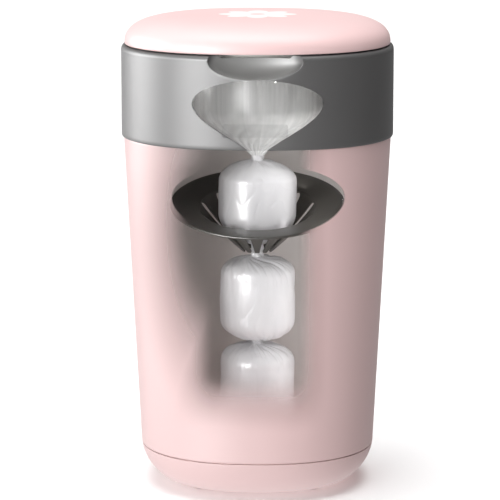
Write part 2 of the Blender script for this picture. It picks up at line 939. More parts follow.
def wear(piece: Piece, finish: Finish, body: str, *stands_for: str) -> Piece:
    """Give a piece its finish and the body that it moves with.

    Args:
        piece: the piece.
        finish: its finish.
        body: the CAD body that it rides on.
        stands_for: the CAD nodes that it takes the place of.

    Returns:
        The same piece.
    """
    piece.data.materials.clear()
    piece.data.materials.append(finish.material())
    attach(piece, body)
    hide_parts(*stands_for)
    faces = sum(len(p.vertices) - 2 for p in piece.data.polygons)
    log.info("%s: %d triangles, on %s, %s", piece.name, faces, body, finish.name)
    return piece


def body_of_node(node: str) -> str:
    """Give the name of the body that a CAD node belongs to."""
    return frame["nodes"][node]["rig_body"]


def soften(node: str, finish: Finish, edge: float, sharp: float = 32.0) -> Piece:
    """Make a moulded copy of a CAD node, with softened edges, and let it stand for the node.

    Args:
        node: the CAD node.
        finish: its finish.
        edge: how far the edges are rounded.
        sharp: the angle in degrees past which an edge is rounded.

    Returns:
        The copy.
    """
    mesh = frame["nodes"][node].data.copy()
    mesh.materials.clear()
    mesh.name = f"{node}_softened"
    work = bmesh.new()
    work.from_mesh(mesh)
    bmesh.ops.remove_doubles(work, verts=work.verts, dist=0.001 * MM)
    bmesh.ops.dissolve_limit(
        work, angle_limit=math.radians(0.5), use_dissolve_boundaries=False, verts=work.verts, edges=work.edges
    )
    work.to_mesh(mesh)
    work.free()
    piece = put(f"{node}_softened", mesh)
    if edge:
        bevel = piece.modifiers.new("soft edges", "BEVEL")
        bevel.width = edge * MM
        bevel.segments = 2
        bevel.limit_method = "ANGLE"
        bevel.angle_limit = math.radians(sharp)
        bevel.use_clamp_overlap = True
    as_mesh(piece, 45.0)
    return wear(piece, finish, body_of_node(node), node)


# ---- The plan that the tub, the collar and the lid share ----


@dataclass(frozen=True)
class Plan:
    """The squared oval outline. A size is given by its half-width a."""

    power: float = 2.3
    depth_ratio: float = 0.965
    points: int = 192

    def radius(self, a: float, turn: float) -> float:
        """Give the outline's radius in a direction.

        Args:
            a: the outline's half-width.
            turn: the direction, in radians.

        Returns:
            The distance from the axis.
        """
        across = abs(math.cos(turn)) / a
        along = abs(math.sin(turn)) / (a * self.depth_ratio)
        return (across**self.power + along**self.power) ** (-1 / self.power)

    def front(self, a: float, x: float) -> float:
        """Give the y of the outline's front at the distance x from the middle."""
        return -a * self.depth_ratio * max(0.0, 1 - (abs(x) / a) ** self.power) ** (1 / self.power)

    def row(self, a: float, z: float) -> list[Place]:
        """Give the points of the outline at one height."""
        turns = (math.tau * i / self.points for i in range(self.points))
        return [(*polar(self.radius(a, t), t), z) for t in turns]

    def shell(self, name: str, sizes: Sequence[Flat]) -> Piece:
        """Make a closed piece from half-widths and heights, up the outside and down the inside."""
        return join_lattice(name, [self.row(a, z) for a, z in sizes])


PLAN = Plan()


@dataclass
class Base:
    """The rounded base under the groove, with its screw posts and its rubber feet."""

    gap: float = 2.0
    round: float = 43.0
    wall: float = 2.6
    groove: float = 39.0
    spigot: float = 5.0
    spigot_a: float = 110.9
    top_a: float = 114.05
    middles: tuple[float, ...] = (20.0, 50.0)
    post: Flat = (56.0, 52.0)
    post_radius: float = 5.0
    post_top: float = 36.0
    seat: float = 30.0
    bore: float = 3.1
    neck_bore: float = 1.7
    foot: Flat = (43.0, 42.0)
    foot_radius: float = 9.2
    foot_depth: float = 1.4

    def arc(self, inset: float, top: float) -> list[Flat]:
        """Give the half-widths and heights of the rounding, from the underside up to the height top.

        Args:
            inset: how far inside the skin the arc runs.
            top: where it ends.

        Returns:
            Half-width and height of each row.
        """
        r = self.round - inset
        end = math.asin(min(1.0, (self.gap + self.round - top) / r))
        flat = self.top_a - self.round
        turns = steps(math.pi / 2, end, 22)
        return [(flat + r * math.cos(t), self.gap + self.round - r * math.sin(t)) for t in turns]

    def bowl(self) -> None:
        """Make the bowl with its posts, screw holes and foot pockets."""
        outer = self.arc(0, self.groove - 0.5)
        edge, a, crest = outer[-1][0], self.spigot_a, self.groove + self.spigot
        sizes = [
            *((middle, self.gap) for middle in self.middles), *outer,
            (edge + 0.02, self.groove - 0.2), (edge - 0.35, self.groove), (a, self.groove), (a, crest - 0.4),
            (a - 0.4, crest), (a - self.wall, crest), (a - self.wall, self.groove - 1),
            *self.arc(self.wall, self.groove - 4)[::-1],
        ]
        bowl = PLAN.shell("base_bowl_moulded", sizes)
        posts, low = corners(self.post), self.gap - 1
        cutters = [add_rod(f"hole_{n}", place, self.bore, low, self.seat) for n, place in enumerate(posts)]
        for n, place in enumerate([*corners(self.foot), (0.0, 0.0)]):
            top = self.gap + self.foot_depth
            cutters.append(add_rod(f"pocket_{n}", place, self.foot_radius, low, top, 56))
        cut(bowl, cutters)
        add_posts(bowl, "post", posts, self.bore, self.post_radius, self.gap + 1, self.seat)
        add_posts(bowl, "post_top", posts, self.neck_bore, self.post_radius, self.seat, self.post_top)
        wear(bowl, PINK_BASE, "tub", "base_bowl")

    def build(self) -> None:
        """Make the base and its feet."""
        self.bowl()
        soften("rubber_feet", BLACK_RUBBER, edge=0.4)


@dataclass
class Tub:
    """The tapered bucket."""

    top_a: float = 129.1
    taper: float = 0.0505
    seam: float = 343.0
    foot: float = 40.0
    wall: float = 2.6
    floor_low: float = 44.0
    floor: float = 46.5
    corner: float = 6.0
    lip: float = 5.0
    lip_a: float = 127.5
    bead: float = 1.5
    fit: float = 0.3
    post_radius: float = 5.0
    post_length: float = 8.0

    def skin(self, z: float) -> float:
        """Give the half-width of the skin at the height z."""
        return self.top_a - (self.seam - z) * self.taper

    def shell(self) -> None:
        """Make the bucket with the lip that stands in the collar and the bead for the catches."""
        foot_a = self.skin(self.foot)
        seat = foot_a - self.wall
        top = self.seam - self.fit
        lip_in = self.lip_a - self.wall
        bead_in = lip_in - self.bead
        crest = self.seam + self.lip
        low_in = self.skin(self.floor) - self.wall - self.corner
        sizes = [
            (seat - 6, self.floor_low), (seat, self.floor_low), (seat, self.foot),
            (foot_a - 0.5, self.foot), (foot_a - 0.12, self.foot + 0.15), (foot_a + 0.02, self.foot + 0.5),
            *((self.skin(z), z) for z in steps(self.foot + 2, top - 2, 12)),
            (self.skin(top), top - 0.4), (self.skin(top) - 0.12, top - 0.1), (self.skin(top) - 0.4, top),
            (self.lip_a, top), (self.lip_a, crest - 0.4), (self.lip_a - 0.4, crest), (bead_in + 0.3, crest),
            (bead_in, crest - 0.3), (bead_in, crest - 2.4), (lip_in, crest - 3.6), (lip_in, self.seam - 4),
            (self.skin(self.seam - 6) - self.wall, self.seam - 6),
            *((self.skin(z) - self.wall, z) for z in steps(self.seam - 20, self.floor + self.corner, 10)),
        ]
        for t in steps(math.pi / 12, math.pi / 2, 6):
            sizes.append((low_in + self.corner * math.cos(t), self.floor + self.corner * (1 - math.sin(t))))
        shell = PLAN.shell("tub_shell_moulded", sizes)
        low = self.floor_low - self.post_length
        add_posts(shell, "tub_post", corners(Base.post), PILOT, self.post_radius, low, self.floor_low)
        wear(shell, PINK_SHELL, "tub", "tub_shell")

    def build(self) -> None:
        """Make the tub and dress its hinge bracket."""
        self.shell()
        soften("tub_hinge_bracket", PINK_BASE, edge=0.5)


# ---- Collar ----


def slab(name: str, a: float, centre_z: float, size: Flat, corner: float, levels: Sequence[Flat]) -> Piece:
    """Make a rounded plate that follows the collar's front.

    Args:
        name: the piece's name.
        a: the half-width of the skin that it follows.
        centre_z: the height of its middle.
        size: its width and height.
        corner: the radius of its corners.
        levels: how far in from its outline each row runs, and how far out of the skin, from back to front.

    Returns:
        The closed plate.
    """

    def row(inset: float, out: float) -> list[Place]:
        """Give one outline of the plate.

        Args:
            inset: how far in from the plate's own outline it runs.
            out: how far out of the skin.

        Returns:
            Its points.
        """
        w, h = size[0] / 2 - inset, size[1] / 2 - inset
        c = max(0.02, min(corner - inset, h * 0.98))
        spots: list[Flat] = []
        for n, centre in enumerate([(w - c, h - c), (c - w, h - c), (c - w, c - h), (w - c, c - h)]):
            spots += [polar(c, t, centre) for t in steps(math.pi / 2 * n, math.pi / 2 * (n + 1), 9)]
            if n in (0, 2):
                spots += [(x, spots[-1][1]) for x in steps(centre[0], -centre[0], 32)[1:-1]]
        return [(x, PLAN.front(a + out, x), centre_z + z) for x, z in spots]

    middle = size[1] / 2 - 0.05
    (back_inset, back_out), (front_inset, front_out) = levels[0], levels[-1]
    rows = [row(inset, back_out) for inset in steps(middle, back_inset, 7)[:-1]]
    rows += [row(inset, out) for inset, out in levels]
    rows += [row(inset, front_out) for inset in steps(front_inset, middle, 7)[1:]]
    return join_lattice(name, rows, sharp=35.0)


@dataclass
class Collar:
    """The grey shell between the tub and the lid, with the scoop for the thumb in its front."""

    a: float = 131.2
    wall: float = 3.0
    low: float = 343.0
    top: float = 430.0
    shoulder: float = 4.5
    rim: float = 11.5
    rim_low: float = 427.3
    scoop_half: float = 44.6
    scoop_radius: float = 17.3
    scoop_y: float = -124.708
    scoop_z: float = 425.6
    cup_wall: float = 2.0
    lip_round: float = 1.0
    still: float = 48.0
    turned: float = 92.0
    plate_z: float = 361.4
    plate_size: Flat = (60.8, 12.0)
    plate_corner: float = 2.6
    pocket_gap: float = 0.4
    pocket_depth: float = 1.2
    boss_turns: tuple[float, ...] = (25, 65, 115, 155, 205, 335)
    boss_inset: float = 7.2
    boss_radius: float = 3.4
    boss_low: float = 418.8

    def lens(self, x: float, grow: float = 0.0) -> float:
        """Give the scoop's radius at the distance x from the middle, grown by a wall."""
        half = self.scoop_half + grow
        return (self.scoop_radius + grow) * math.sqrt(max(0.0, 1 - (x / half) ** 2))

    def scooped(self, x: float, radius: float, turns: Sequence[float]) -> list[Place]:
        """Give the points of an arc of the scoop at the distance x from the middle."""
        return [(x, *polar(radius, t, (self.scoop_y, self.scoop_z))) for t in turns]

    def spots(self) -> list[tuple[float, bool]]:
        """Give the columns' places on the skin, anticlockwise from the right.

        Returns:
            For each column, a direction in radians, or an x where the second value says that it is in front.
        """
        ends = [44.0, 43.9, 43.6, 43.2, 42.6, 41.8, 40.8]
        half = sorted({0.0, *steps(2, 40, 20), 30.3, 30.32, *ends, 44.5, 45.2, 46.0, 46.8, 48.0})
        fronts = [-x for x in half[::-1]] + half[1:]
        start = math.atan2(PLAN.front(self.a, half[-1]), half[-1])
        turns = steps(start, math.pi - start, 182)[1:-1]
        return [(t, False) for t in turns] + [(x, True) for x in fronts]

    def column(self, spot: float, front: bool) -> list[Place]:
        """Give one upright section of the collar. Each has the same number of points.

        Args:
            spot: the column's x in the front, or its direction.
            front: whether spot is an x.

        Returns:
            Its points, up the outside, through the scoop and the rim, and down the inside.
        """
        if front:
            x, skin_y = spot, PLAN.front(self.a, spot)
        else:
            x, skin_y = polar(PLAN.radius(self.a, spot), spot)
        slide = ease(abs(x), self.still, self.turned) if skin_y < 0 else 1.0

        def at(inset: float, z: float) -> Place:
            """Go in from the skin: straight back in the front, and towards the axis elsewhere.

            Args:
                inset: how far.
                z: the height.

            Returns:
                The place.
            """
            if skin_y < 0 and slide < 1:
                px = x * (1 - slide * inset / self.a)
                return px, PLAN.front(self.a - inset, px), z
            share = 1 - inset / self.a
            return x * share, skin_y * share, z

        def inset_at(y: float) -> float:
            """Halve a range until it gives the inset at which the column reaches y.

            Args:
                y: the place's y.

            Returns:
                The inset.
            """
            near, far = 0.0, 45.0
            for _ in range(40):
                middle = (near + far) / 2
                near, far = (middle, far) if PLAN.front(self.a - middle, x) < y else (near, middle)
            return near

        radius = self.lens(x) if skin_y < 0 else 0.0
        start = self.scoop_z
        if radius > abs(skin_y - self.scoop_y) and skin_y < 0:
            start = self.scoop_z - math.sqrt(radius**2 - (skin_y - self.scoop_y) ** 2)
            back = self.scoop_y + radius
        else:
            radius, back = 0.0, skin_y
        spots = [at(0.8, self.low), at(0.25, self.low + 0.2), at(0, self.low + 0.8)]
        fillet = min(self.lip_round, 0.35 * (self.scoop_z - start))
        spots += [at(0, z) for z in steps(self.low + 4, start - fillet, 14)]
        if radius > 0:  # the lip's fillet, then the scoop
            first = math.atan2(start - self.scoop_z, skin_y - self.scoop_y)
            first += fillet / radius
            corner = Vector((skin_y, start))
            one = Vector((skin_y, start - fillet))
            two = Vector(self.scooped(x, radius, [first])[0][1:])
            for t in steps(0, 1, 6)[1:]:
                mid = one * (1 - t) ** 2 + corner * 2 * t * (1 - t) + two * t * t
                spots.append((x, mid.x, mid.y))
            spots += self.scooped(x, radius, steps(first, 0, 20)[1:])
        else:
            spots += [at(0, start)] * 24
        depth = inset_at(back) if radius > 0 else 0.0
        bend = self.top - self.shoulder
        if depth > self.rim:  # the scoop goes through the rim here
            spots += [(x, back, z) for z in steps(self.scoop_z, self.rim_low - 0.3, 3)[1:]]
            spots += [(x, back + 0.1, self.rim_low - 0.05)] + [(x, back + 0.4, self.rim_low)] * 8
            spots += [(x, back + self.cup_wall, self.rim_low)] * 3
        else:
            if depth < self.shoulder:
                turn = math.acos((self.shoulder - depth) / self.shoulder)
                high = bend + self.shoulder * math.sin(turn)
            else:
                turn, high = math.pi / 2, self.top
            edge = at(depth, high)
            low = start if radius == 0 else self.scoop_z
            spots += [(edge[0], edge[1], z) for z in steps(low, high, 3)[1:]]
            for t in steps(turn, math.pi / 2, 8):
                flat = self.shoulder * (1 - math.cos(t)) if depth < self.shoulder else depth
                spots.append(at(flat, bend + self.shoulder * math.sin(t)))
            spots.append(at(max(depth, self.shoulder) * 0.5 + (self.rim - 0.3) * 0.5, self.top))
            spots += [at(self.rim - 0.3, self.top), at(self.rim, self.top - 0.3), at(self.rim, self.rim_low)]
        cupped = skin_y < 0 and abs(x) < self.scoop_half + self.cup_wall
        grown = self.lens(x, self.cup_wall) if cupped else 0.0
        inner_y = at(self.wall, 0)[1]
        if grown > abs(inner_y - self.scoop_y) and self.scoop_y + grown > inner_y:
            spots += [(x, self.scoop_y + grown, z) for z in steps(self.rim_low, self.scoop_z, 3)]
            end = -math.acos(max(-1.0, min(1.0, (inner_y - self.scoop_y) / grown)))
            spots += self.scooped(x, grown, steps(0, end, 12)[1:])
        else:
            spots += [at(self.wall, self.rim_low)] * 2 + [at(self.wall, self.scoop_z)] * 12
        inner = steps(spots[-1][2], self.low + 0.3, 10)[1:]
        return spots + [at(self.wall, z) for z in inner] + [at(self.wall - 0.3, self.low)]

    def shell(self) -> None:
        """Make the collar in one with the thumb's cup, and cut the plate's pocket."""
        columns = [self.column(spot, front) for spot, front in self.spots()]
        shell = join_lattice("collar_moulded", list(zip(*columns)), looped=True, sharp=50.0)
        size = tuple(side + 2 * self.pocket_gap for side in self.plate_size)
        levels = [(0, -self.pocket_depth), (0, 3.0)]
        corner = self.plate_corner + self.pocket_gap
        cut(shell, [slab("plate_pocket", self.a, self.plate_z, size, corner, levels)], 50.0)
        turns = [math.radians(turn) for turn in self.boss_turns]
        places = [polar(PLAN.radius(self.a - self.boss_inset, turn), turn) for turn in turns]
        add_posts(shell, "frame_boss", places, PILOT, self.boss_radius, self.boss_low, self.rim_low)
        wear(shell, GREY_SHELL, "head", "collar", "thumb_recess_cup")

    def plate(self) -> None:
        """Make the bare plate in its pocket."""
        levels = [(0.0, -self.pocket_depth), (0.0, -0.1), (0.12, 0.1), (0.4, 0.25), (0.9, 0.3)]
        plate = slab("name_plate_bare", self.a, self.plate_z, self.plate_size, self.plate_corner, levels)
        wear(plate, GREY_SHELL, "head", "name_plate")

    def build(self) -> None:
        """Make the collar and its plate."""
        self.shell()
        self.plate()


# ---- Lid ----


@dataclass
class Lid:
    """The domed cover, the plate inside it and the seal."""

    low: float = 431.5
    a: float = 128.0
    wall: float = 2.4
    crown: float = 26.0
    flat: float = 5.0
    edge: float = 0.4
    notch_half: float = 24.6
    notch_gap: float = 1.2
    back: float = 126.608
    plate: float = 2.5
    boss_turns: tuple[float, ...] = (40, 140, 220, 320)
    boss_reach: float = 84.0
    boss_radius: float = 4.0
    boss_height: float = 23.4

    def height(self, share: float, crown: float) -> float:
        """Give the dome's height at a share of the half-width."""
        return crown * max(0.0, 1 - share**self.flat) ** self.edge

    def cover(self) -> None:
        """Make the cover, notched at the back for the middle knuckle."""
        shares = [math.sin(t) for t in steps(0.03, math.pi / 2 - 0.035, 40)]
        a, inner_a = self.a, self.a - self.wall
        sizes = [(inner_a * s, self.low + self.height(s, self.crown - self.wall)) for s in shares]
        sizes += [
            (inner_a, self.low + 0.3), (inner_a + 0.3, self.low), (a - 0.45, self.low),
            (a - 0.12, self.low + 0.14), (a, self.low + 0.5),
        ]
        sizes += [(a * s, self.low + self.height(s, self.crown)) for s in shares[::-1]]
        cover = PLAN.shell("lid_cover_moulded", sizes)
        w, seat = self.notch_half, self.low + self.plate
        low, high = (-w, self.back - 30, self.low - 1), (w, self.back + 20, seat + self.notch_gap)
        notch = add_block("knuckle_notch", low, high)
        cut(cover, [notch], 50.0)
        places = [polar(self.boss_reach, math.radians(turn)) for turn in self.boss_turns]
        add_posts(cover, "liner_boss", places, PILOT, self.boss_radius, seat, self.low + self.boss_height)
        wear(cover, PINK_LID, "lid", "lid_cover")

    def build(self) -> None:
        """Make the cover and dress what is under it."""
        self.cover()
        soften("lid_liner", WHITE_WHOLE, edge=0.4)
        soften("lid_gasket", BLACK_RUBBER, edge=0.5)


# ---- Head and twist unit ----


@dataclass
class HeadInside:
    """What the collar carries: the deck with its well, the hinge brackets and the small brackets."""

    bracket_edge: float = 0.6
    small_edge: float = 0.3

    def build(self) -> None:
        """Dress the frame and the brackets."""
        soften("well_frame", GREY_INNER, edge=0.5)
        for bracket in ("head_hinge_bracket", "lid_hinge_bracket"):
            soften(bracket, GREY_BRACKET, self.bracket_edge)
        for bracket in ("pawl_post", "catch_brackets"):
            soften(bracket, GREY_INNER_WHOLE, self.small_edge)


@dataclass
class TwistUnit:
    """The ring that turns, the refill in it, and the film that it draws down."""

    neck: float = 7.5
    mouth: float = 64.1
    fullness: float = 0.68
    film: float = 0.3
    top: float = 370.1
    drop: float = 49.0
    over: float = 420.5
    outside: float = 66.9
    slit: float = 410.1
    pleats: int = 20
    pleat_depth: Flat = (0.014, 0.2)  # at the mouth, and how much more at the neck
    uneven: float = 2.4
    swirl: float = 0.9
    columns: int = 240

    def radius(self, t: float) -> float:
        """Give the film's radius at the share t of the way from the mouth to the neck."""
        return self.neck + (self.mouth - self.neck) * ((1 + math.cos(math.pi * t)) / 2) ** self.fullness

    def sleeve(self) -> None:
        """Make the film: out of the cassette, over the core, down through it and gathered to a neck."""
        # Each row's radius, height, and how deep its pleats are as a share of the radius
        start, more = self.pleat_depth
        profile = [(self.radius(t), self.top - self.drop * t, start + more * t**2.2) for t in steps(1, 0, 60)]
        profile += [(self.mouth, z, 0.01) for z in steps(self.top + 3, self.over - 1, 12)]
        profile += [(self.mouth + 0.5, self.over, 0.002), (self.outside, self.over, 0.0)]
        profile += [(self.outside + 0.2, self.slit, 0.0)]
        rows = []
        for thick, side in ((0.0, profile), (self.film, profile[::-1])):
            for r, z, gather in side:
                row = []
                twist = self.swirl * ease(z, self.top, self.top - self.drop)
                for i in range(self.columns):
                    turn = math.tau * i / self.columns
                    bend = turn + twist
                    uneven = noise.noise(Vector((*polar(2.2, bend), 3.1)))
                    fold = abs(math.sin(self.pleats / 2 * bend + self.uneven * uneven)) ** 1.3
                    reach = r * (1 - gather * (1 - fold) * (0.7 + 0.6 * uneven)) - thick
                    row.append((*polar(reach, turn), z))
                rows.append(row)
        sleeve = join_lattice("film_sleeve_gathered", rows, looped=True, sharp=75.0)
        wear(sleeve, LOOSE_FILM, "twist_unit", "film_sleeve")

    def build(self) -> None:
        """Make the film and dress the ring and the refill."""
        for part in ("twist_ring", "cassette_tray", "cassette_cover"):
            soften(part, WHITE_PLASTIC, edge=0.4)
        soften("film_pack", FILM_PACK, edge=1.0)
        self.sleeve()


# ---- Geometry Nodes ----


def new_geometry_tree(name: str, inputs: dict[str, float | int]) -> tuple[Tree, dict[str, str]]:
    """Start a Geometry Nodes tree with named inputs.

    Args:
        name: the tree's name.
        inputs: each input's value, by name. A whole number makes a whole-number input.

    Returns:
        The tree, and the identifier of each named input.
    """
    tree = bpy.data.node_groups.new(name, "GeometryNodeTree")
    for side in ("INPUT", "OUTPUT"):
        tree.interface.new_socket("Geometry", in_out=side, socket_type="NodeSocketGeometry")
    keys = {}
    for label, value in inputs.items():
        kind = "NodeSocketInt" if isinstance(value, int) else "NodeSocketFloat"
        socket = tree.interface.new_socket(label, in_out="INPUT", socket_type=kind)
        socket.default_value = value
        keys[label] = socket.identifier
    return tree, keys


def instance(tree: Tree, points: Socket, piece: Socket, facing: Socket) -> Socket:
    """Set a piece on each point of a Geometry Nodes tree, and make the copies real.

    Args:
        tree: the tree.
        points: the points.
        piece: what stands on each.
        facing: its rotation there.

    Returns:
        The copies, as one mesh.
    """
    inputs = {"Points": points, "Instance": piece, "Rotation": facing}
    copies = add_node(tree, "GeometryNodeInstanceOnPoints", inputs)
    return add_node(tree, "GeometryNodeRealizeInstances", {0: copies})


def finish_tree(tree: Tree, geometry: Socket, finish: Finish) -> None:
    """Set a finish's material on what a Geometry Nodes tree made, and join it to the output."""
    dressed = add_node(tree, "GeometryNodeSetMaterial", {"Geometry": geometry, "Material": finish.material()})
    fill(tree, tree.nodes.new("NodeGroupOutput"), {0: dressed})


def grow(piece: Piece, tree: Tree, values: dict[str, float | int], sharp: float) -> Piece:
    """Run a Geometry Nodes tree on a piece and keep the result as a plain mesh.

    Args:
        piece: the piece, whose mesh the tree takes.
        tree: the tree.
        values: the inputs by identifier.
        sharp: the angle in degrees past which an edge is sharp.

    Returns:
        The same piece.
    """
    step = piece.modifiers.new(tree.name, "NODES")
    step.node_group = tree
    for key, value in values.items():
        step[key] = value
    return as_mesh(piece, sharp)


# ---- Gripper ----


@dataclass
class Gripper:
    """The dark dish with its twelve fingers, and the clear hangers that carry it."""

    reach: float = 85.3
    height: float = 274.0
    tilt: float = 14.0
    thick: float = 2.4
    finger_thick: float = 2.2
    finger_round: float = 0.7
    fall: float = 4.5
    throat: float = 57.0
    tip: float = 14.0
    depth: float = 41.5
    level: float = 24.0
    fingers: int = 12
    slot: float = 7.0
    slot_end: float = 3.08

    def drop(self, r: float) -> float:
        """Give the depth of the dish's upper face under the rim's plane.

        Args:
            r: the radius.

        Returns:
            The depth there.
        """
        brim = self.reach - 2.5
        flange = self.fall * min(1.0, max(0.0, (brim - r) / (brim - self.throat))) ** 1.35
        return flange + self.depth * max(0.0, (self.throat - r) / (self.throat - self.tip)) ** 0.92

    def slot_half(self, r: float) -> float:
        """Give half the width of a slot, which has a round end at the throat.

        Args:
            r: the radius.

        Returns:
            Half the width there.
        """
        half = self.slot / 2
        start = self.throat - half
        if r >= self.throat:
            return 0.0
        if r > start:
            return half * math.sqrt(max(0.0, 1 - ((r - start) / half) ** 2))
        share = (start - r) / (start - self.tip + 4)
        return (self.slot + (self.slot_end - self.slot) * share) / 2

    def sector(self) -> Piece:
        """Make one finger with its share of the flange, open where its neighbours join it.

        Returns:
            The sector, round the +X direction and not yet tilted.
        """
        start = self.throat - self.slot / 2
        radii = steps(self.tip + 0.6, start, 22)[:-1]
        radii += [start + self.slot / 2 * math.cos(t) for t in steps(0, math.pi / 2, 9)][::-1]
        radii += steps(self.throat + 0.6, 63, 8) + steps(64.5, self.reach - 2.2, 14)
        right = [0.28, 0.55, 0.8, 0.93, 0.985, 1]
        across = [-v for v in right[::-1]] + [0] + right

        def row(r: float, height: float, lift: float) -> list[Place]:
            """Give one row across the sector.

            Args:
                r: its radius.
                height: its height.
                lift: how far its long edges are rounded.

            Returns:
                Its points.
            """
            gap = self.slot_half(r)
            half = math.pi / self.fingers - math.asin(min(0.99, gap / r))
            lifts = [lift * ease(abs(v), 0.78, 1.0) * min(1.0, gap / 1.2) for v in across]
            return [(*polar(r, v * half), height - up) for v, up in zip(across, lifts)]

        def rounding(r: float) -> float:
            """Give how far the long edges are rounded. They fade towards the tip."""
            return self.finger_round * ease(r, self.tip - 2, self.tip + 6)

        rows: list[list[Place]] = []
        for r in radii:  # outwards along the underside
            thicker = (self.thick - self.finger_thick) * ease(r, self.throat, self.throat + 8)
            thick = self.finger_thick + thicker
            slope = (self.drop(r - 0.5) - self.drop(r + 0.5)) * 0.85
            lean = slope / math.hypot(1, slope)
            rows.append(row(r + thick * lean * 0.5, self.height - self.drop(r) - thick, -rounding(r)))
        half = self.thick / 2
        for t in steps(-math.pi / 2, math.pi / 2, 9):  # round the rim
            reach, height = polar(half, t, (self.reach - half, self.height - half))
            rows.append(row(reach, height, 0))
        for r in radii[::-1]:  # inwards over the top
            rows.append(row(r, self.height - self.drop(r), rounding(r)))
        total, columns = len(rows), len(across)
        faces = lattice(total, columns, wrap_rows=True, wrap_columns=False)
        for k in range(sum(r <= self.throat + 0.01 for r in radii) - 1):  # the slot's two sides
            top, top_next = total - 1 - k, total - 2 - k
            faces.append(tuple(n * columns for n in (k, k + 1, top_next, top)))
            faces.append(tuple(n * columns + columns - 1 for n in (k, top, top_next, k + 1)))
        return make_piece("gripper_dish_fingered", [p for r in rows for p in r], faces)

    def tree(self) -> tuple[Tree, dict[str, str]]:
        """Make the tree that sets the sectors round the axis and tilts the rim.

        Returns:
            The tree, and the identifiers of its inputs.
        """
        tree, keys = new_geometry_tree(
            "fingers_round_the_dish",
            {
                "Fingers": self.fingers,
                "Tilt": math.radians(self.tilt),
                "Rim Height": self.height * MM,
                "Level Radius": self.level * MM,
                "Throat Radius": self.throat * MM,
            },
        )
        given = tree.nodes.new("NodeGroupInput").outputs
        points = add_node(tree, "GeometryNodePoints", {"Count": given["Fingers"]})
        share = add_node(tree, "ShaderNodeMath", {0: math.tau, 1: given["Fingers"]}, operation="DIVIDE")
        number = add_node(tree, "GeometryNodeInputIndex", {})
        turn = add_node(tree, "ShaderNodeMath", {0: number, 1: share}, operation="MULTIPLY")
        angles = add_node(tree, "ShaderNodeCombineXYZ", {2: turn})
        facing = add_node(tree, "FunctionNodeEulerToRotation", {0: angles})
        real = instance(tree, points, given["Geometry"], facing)
        merged = add_node(tree, "GeometryNodeMergeByDistance", {"Geometry": real, "Distance": 0.005 * MM})
        place = add_node(tree, "GeometryNodeInputPosition", {})
        level = add_node(tree, "ShaderNodeVectorMath", {0: place, 1: (1, 1, 0)}, operation="MULTIPLY")
        reach = add_node(tree, "ShaderNodeVectorMath", {0: level}, "Value", operation="LENGTH")
        ends = {"Value": reach, "From Min": given["Level Radius"], "From Max": given["Throat Radius"]}
        grade = add_node(tree, "ShaderNodeMapRange", ends)
        curve = add_node(tree, "ShaderNodeMath", {0: grade, 1: 1.5}, operation="POWER")
        angle = add_node(tree, "ShaderNodeMath", {0: curve, 1: given["Tilt"]}, operation="MULTIPLY")
        centre = add_node(tree, "ShaderNodeCombineXYZ", {2: given["Rim Height"]})
        tipping = {"Vector": place, "Center": centre, "Angle": angle}
        tipped = add_node(tree, "ShaderNodeVectorRotate", tipping, rotation_type="X_AXIS")
        moved = add_node(tree, "GeometryNodeSetPosition", {"Geometry": merged, "Position": tipped})
        finish_tree(tree, moved, DARK_PLASTIC)
        return tree, keys

    def build(self) -> None:
        """Make the dish and dress its hangers."""
        tree, keys = self.tree()
        dish = grow(self.sector(), tree, {keys["Fingers"]: self.fingers}, 40.0)
        wear(dish, DARK_PLASTIC, "head", "gripper_dish")
        soften("gripper_hangers", CLEAR_PLASTIC, edge=0.6)


# ---- Wrapped nappies ----


